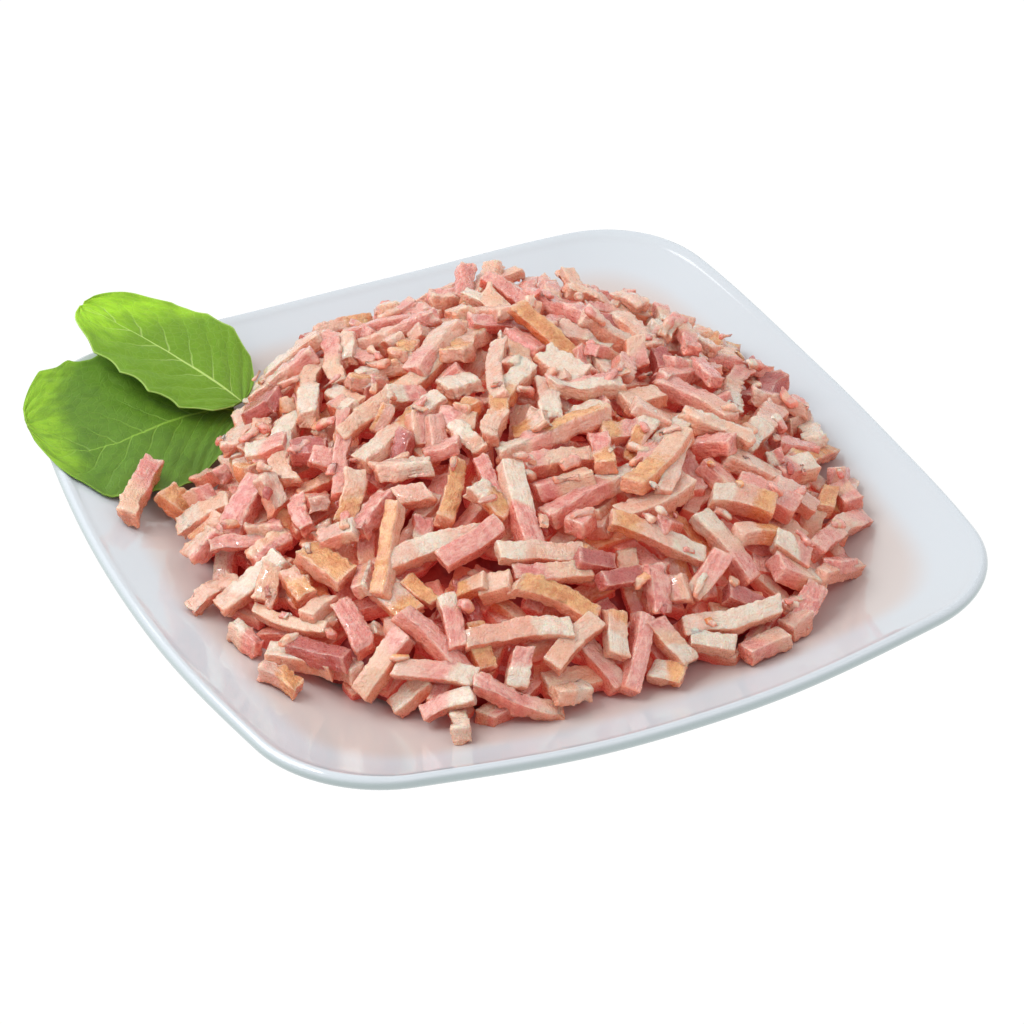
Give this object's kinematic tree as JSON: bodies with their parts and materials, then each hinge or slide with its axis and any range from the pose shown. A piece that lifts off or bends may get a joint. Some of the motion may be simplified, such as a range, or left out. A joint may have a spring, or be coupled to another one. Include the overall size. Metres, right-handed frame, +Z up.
{
  "type": "plate of bacon strips",
  "caption": "Square rounded porcelain plate with a loose heap of cooked bacon strips and salad leaves tucked in at one corner.",
  "frame": {"origin": "on the table under the middle of the plate", "axes": "+Z up, X and Y along the plate's sides, the salad leaves at the -X +Y corner"},
  "size_m": [0.2398, 0.2398, 0.0559],
  "materials": {
    "porcelain": "glossy cool white glaze",
    "bacon": "moist cooked meat, pink lean with cream fat and golden smoked faces",
    "leaf_dark": "matt green leaf with pale veins",
    "leaf_bright": "satin yellow-green leaf with pale veins"
  },
  "bodies": {
    "root": {"plate": "porcelain", "bacon_heap": "bacon", "leaf_lower": "leaf_dark", "leaf_upper": "leaf_bright"}
  },
  "joints": []
}
